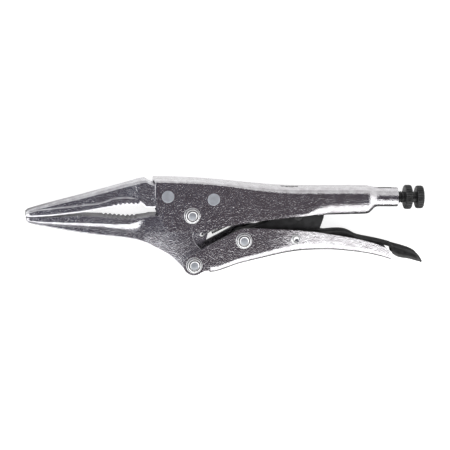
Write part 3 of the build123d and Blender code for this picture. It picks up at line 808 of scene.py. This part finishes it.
def filed_rivet(name, node):
    place = middle(node)
    end = HALF_WIDTH + 0.2
    half = [(0, end), (3.2, end - 0.02)] + arc_points(3.4, end - 0.25, 0.25, 80, 0, 4)
    profile = half + [(r, -along) for r, along in reversed(half)]
    bm = spun(profile, (place.x, place.y, MID), (0, 0, 1))
    finish_piece(name, bm, "fixed_side", RIVET_FILED, (node,), 50)


filed_rivet("rivet_front", "front_jaw_rivet")
filed_rivet("rivet_rear", "rear_jaw_rivet")


def small_rivet():
    end = HALF_WIDTH + 0.9
    half = [(0, end - 0.4), (1.1, end - 0.38), (1.4, end - 0.15)] + arc_points(1.9, end - 0.5, 0.5, 110, 0, 6)
    half += [(2.8, HALF_WIDTH + 0.1), (2.9, HALF_WIDTH)]
    profile = half + [(2.0, HALF_WIDTH), (2.0, -HALF_WIDTH)] + [(r, -along) for r, along in reversed(half)]
    bm = spun(profile, (RELEASE_PIVOT.x, RELEASE_PIVOT.y, MID), (0, 0, 1))
    finish_piece("rivet_small", bm, "handle_side", RIVET_BRIGHT, ("release_rivet",), 50)


small_rivet()


# Adjusting screw with its helical thread

def adjusting_screw():
    low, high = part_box("adjusting_screw")
    start, stop = low.x / MM, high.x / MM
    pitch, crest, root = 1.25, 3.5, 2.95
    line = (0, SCREW.y, MID)
    turns = int((LOCK_NUT[0] - start - 1.6) / pitch)
    bm = bmesh.new()
    profile = [(root, 0.0), (root, 0.12), (crest, 0.5), (crest, 0.75), (root, 1.13), (root, pitch)]
    verts = [bm.verts.new((start + 0.9 + along, SCREW.y + radius, MID)) for radius, along in profile]
    edges = [bm.edges.new(pair) for pair in zip(verts, verts[1:])]
    per_turn = 32
    bmesh.ops.spin(
        bm, geom=verts + edges, cent=line, axis=(1, 0, 0), dvec=(pitch / per_turn, 0, 0),
        angle=2 * pi * turns, steps=per_turn * turns, use_merge=False,
    )
    bmesh.ops.remove_doubles(bm, verts=bm.verts, dist=1e-3)
    finish_piece("screw_thread", bm, "screw", BLACK, (), 40)
    neck, knob = LOCK_NUT[0] + 0.2, KNOB[0]
    core = [(0, start), (2.6, start), (2.96, start + 0.5), (2.96, neck), (3.3, neck), (3.3, knob)]
    core += [(2.5, knob), (2.5, stop - 0.4), (2.1, stop), (0, stop)]
    bm = spun(core, line, (1, 0, 0))
    finish_piece("screw_core", bm, "screw", BLACK, ("adjusting_screw",), 40)


adjusting_screw()


# Jaw spring: a tension coil from the bar in the handle to the lower jaw's ear

def jaw_spring():
    bm = bmesh.new()
    bm.from_mesh(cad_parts["jaw_spring"].data)
    bmesh.ops.scale(bm, vec=(1 / MM, 1 / MM, 1 / MM), verts=bm.verts)
    bmesh.ops.remove_doubles(bm, verts=bm.verts, dist=0.001)
    bmesh.ops.scale(bm, vec=(MM, MM, MM), verts=bm.verts)
    mesh = bpy.data.meshes.new("spring_coil")
    bm.to_mesh(mesh)
    bm.free()
    mesh.polygons.foreach_set("use_smooth", [True] * len(mesh.polygons))
    mesh.materials.append(SPRING_STEEL)
    piece = bpy.data.objects.new("spring_coil", mesh)
    bpy.context.scene.collection.objects.link(piece)
    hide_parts("jaw_spring")
    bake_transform(piece)


jaw_spring()


# Floor, light, world and camera

def stage_plane(name, low, high, level, material):
    bm = bmesh.new()
    bmesh.ops.create_grid(bm, x_segments=1, y_segments=1, size=0.5)
    bmesh.ops.scale(bm, vec=(high[0] - low[0], high[1] - low[1], 1), verts=bm.verts)
    bmesh.ops.translate(bm, vec=((low[0] + high[0]) / 2, (low[1] + high[1]) / 2, level), verts=bm.verts)
    mesh = bpy.data.meshes.new(name)
    bm.to_mesh(mesh)
    bm.free()
    plane = bpy.data.objects.new(name, mesh)
    bpy.context.scene.collection.objects.link(plane)
    mesh.materials.append(material)
    return plane


def glowing(name, colour, strength):
    material = bpy.data.materials.new(name)
    material.use_nodes = True
    nodes, links = material.node_tree.nodes, material.node_tree.links
    nodes.remove(nodes["Principled BSDF"])
    glow = nodes.new("ShaderNodeEmission")
    glow.inputs["Color"].default_value = (*colour, 1)
    glow.inputs["Strength"].default_value = strength
    links.new(glow.outputs["Emission"], nodes["Material Output"].inputs["Surface"])
    return material, nodes, links, glow


def ramp(nodes, links, value, stops):
    """Colours by value, from (value, (r, g, b)) stops between 0 and 1."""
    colours = nodes.new("ShaderNodeValToRGB")
    band = colours.color_ramp
    while len(band.elements) < len(stops):
        band.elements.new(0.5)
    for element, (at, colour) in zip(band.elements, stops):
        element.position = at
        element.color = (*colour, 1)
    links.new(value, colours.inputs["Fac"])
    return colours.outputs["Color"]


def object_axis(nodes, links, axis, low, high):
    """Place along an axis as 0 at low to 1 at high, in millimetres."""
    place = nodes.new("ShaderNodeTexCoord")
    split = nodes.new("ShaderNodeSeparateXYZ")
    links.new(place.outputs["Object"], split.inputs["Vector"])
    return spread(nodes, links, split.outputs[axis], 0, 1, low * MM, high * MM)


def grey(level):
    return (level, level, level)


floor_material, _, _, floor_shader = new_material("floor_white", (0.5, 0.5, 0.5), 0.0, 0.9)
floor_shader.inputs["Specular IOR Level"].default_value = 0.0
floor_shader.inputs["Emission Color"].default_value = (1, 1, 1, 1)
floor_shader.inputs["Emission Strength"].default_value = 0.75
floor = stage_plane("floor", (-3, -3), (3, 3), -0.0002, floor_material)
floor.visible_glossy = False
floor.visible_diffuse = False

# What the plating mirrors from below: bright in front of the tool, grey behind it, dark close under it. This
# glowing plane is a stand-in floor, and its dark band close under the tool is painted shade from the tool.
mirrored_material, nodes, links, glow = glowing("floor_mirrored", (1, 1, 1), 2.0)
away = object_axis(nodes, links, "Y", -200, 100)
# The dark stops from 0.34 to 0.66 are painted shade from the tool on the mirrored floor near it
links.new(ramp(nodes, links, away, [
    (0.0, grey(0.9)), (0.28, grey(0.85)), (0.34, grey(0.07)), (0.55, grey(0.05)), (0.66, grey(0.08)),
    (0.69, grey(0.24)), (0.73, grey(0.5)), (0.85, grey(0.55)),
]), glow.inputs["Color"])
mirrored = stage_plane("floor_mirrored", (-3, -3), (3, 3), -0.0006, mirrored_material)
mirrored.visible_camera = False
mirrored.visible_shadow = False

# A dark card straight above, mirrored by the flat faces only
card_material, nodes, links, glow = glowing("card_dark", (0.1, 0.1, 0.1), 1.0)
along = object_axis(nodes, links, "X", -50, 350)
links.new(ramp(nodes, links, along, [
    (0.1, (0.085, 0.085, 0.115)), (0.3, (0.09, 0.085, 0.11)), (0.38, (0.12, 0.095, 0.1)),
    (0.5, (0.13, 0.09, 0.09)), (0.62, (0.1, 0.09, 0.105)), (0.8, (0.08, 0.08, 0.1)),
]), glow.inputs["Color"])
card = stage_plane("card", (-0.35, -0.34), (0.55, 0.34), 0.6, card_material)
card.visible_camera = False
card.visible_diffuse = False
card.visible_shadow = False

# World: bright from the front, greyer behind
world = bpy.data.worlds.new("studio")
bpy.context.scene.world = world
world.use_nodes = True
nodes, links = world.node_tree.nodes, world.node_tree.links
sky = nodes["Background"]
place = nodes.new("ShaderNodeTexCoord")
split = nodes.new("ShaderNodeSeparateXYZ")
links.new(place.outputs["Generated"], split.inputs["Vector"])
facing = spread(nodes, links, split.outputs["Y"], 0, 1, -1, 1)
links.new(ramp(nodes, links, facing, [
    (0.0, grey(1.0)), (0.4, grey(0.95)), (0.58, grey(0.55)), (0.8, grey(0.5)), (1.0, grey(0.35)),
]), sky.inputs["Color"])
sky.inputs["Strength"].default_value = 1.9

VIEW_TARGET = Vector((21.03, -7.43, 10.0)) * MM
VIEW_FROM = Vector((-0.15243, 0.22495, 0.96237))
VIEW_DISTANCE = 1.5
camera_data = bpy.data.cameras.new("camera")
camera_data.sensor_width = 36
camera_data.lens = 201.5
camera_data.clip_start = 0.01
camera_data.clip_end = 20
camera = bpy.data.objects.new("camera", camera_data)
bpy.context.scene.collection.objects.link(camera)
across = (Vector((1, 0, 0)) - VIEW_FROM * VIEW_FROM.x).normalized()
upward = VIEW_FROM.cross(across)
turned = Matrix((across, upward, VIEW_FROM)).transposed()
camera.matrix_world = Matrix.Translation(VIEW_TARGET + VIEW_FROM * VIEW_DISTANCE) @ turned.to_4x4()
bpy.context.scene.camera = camera
bpy.context.scene.view_settings.view_transform = "Standard"
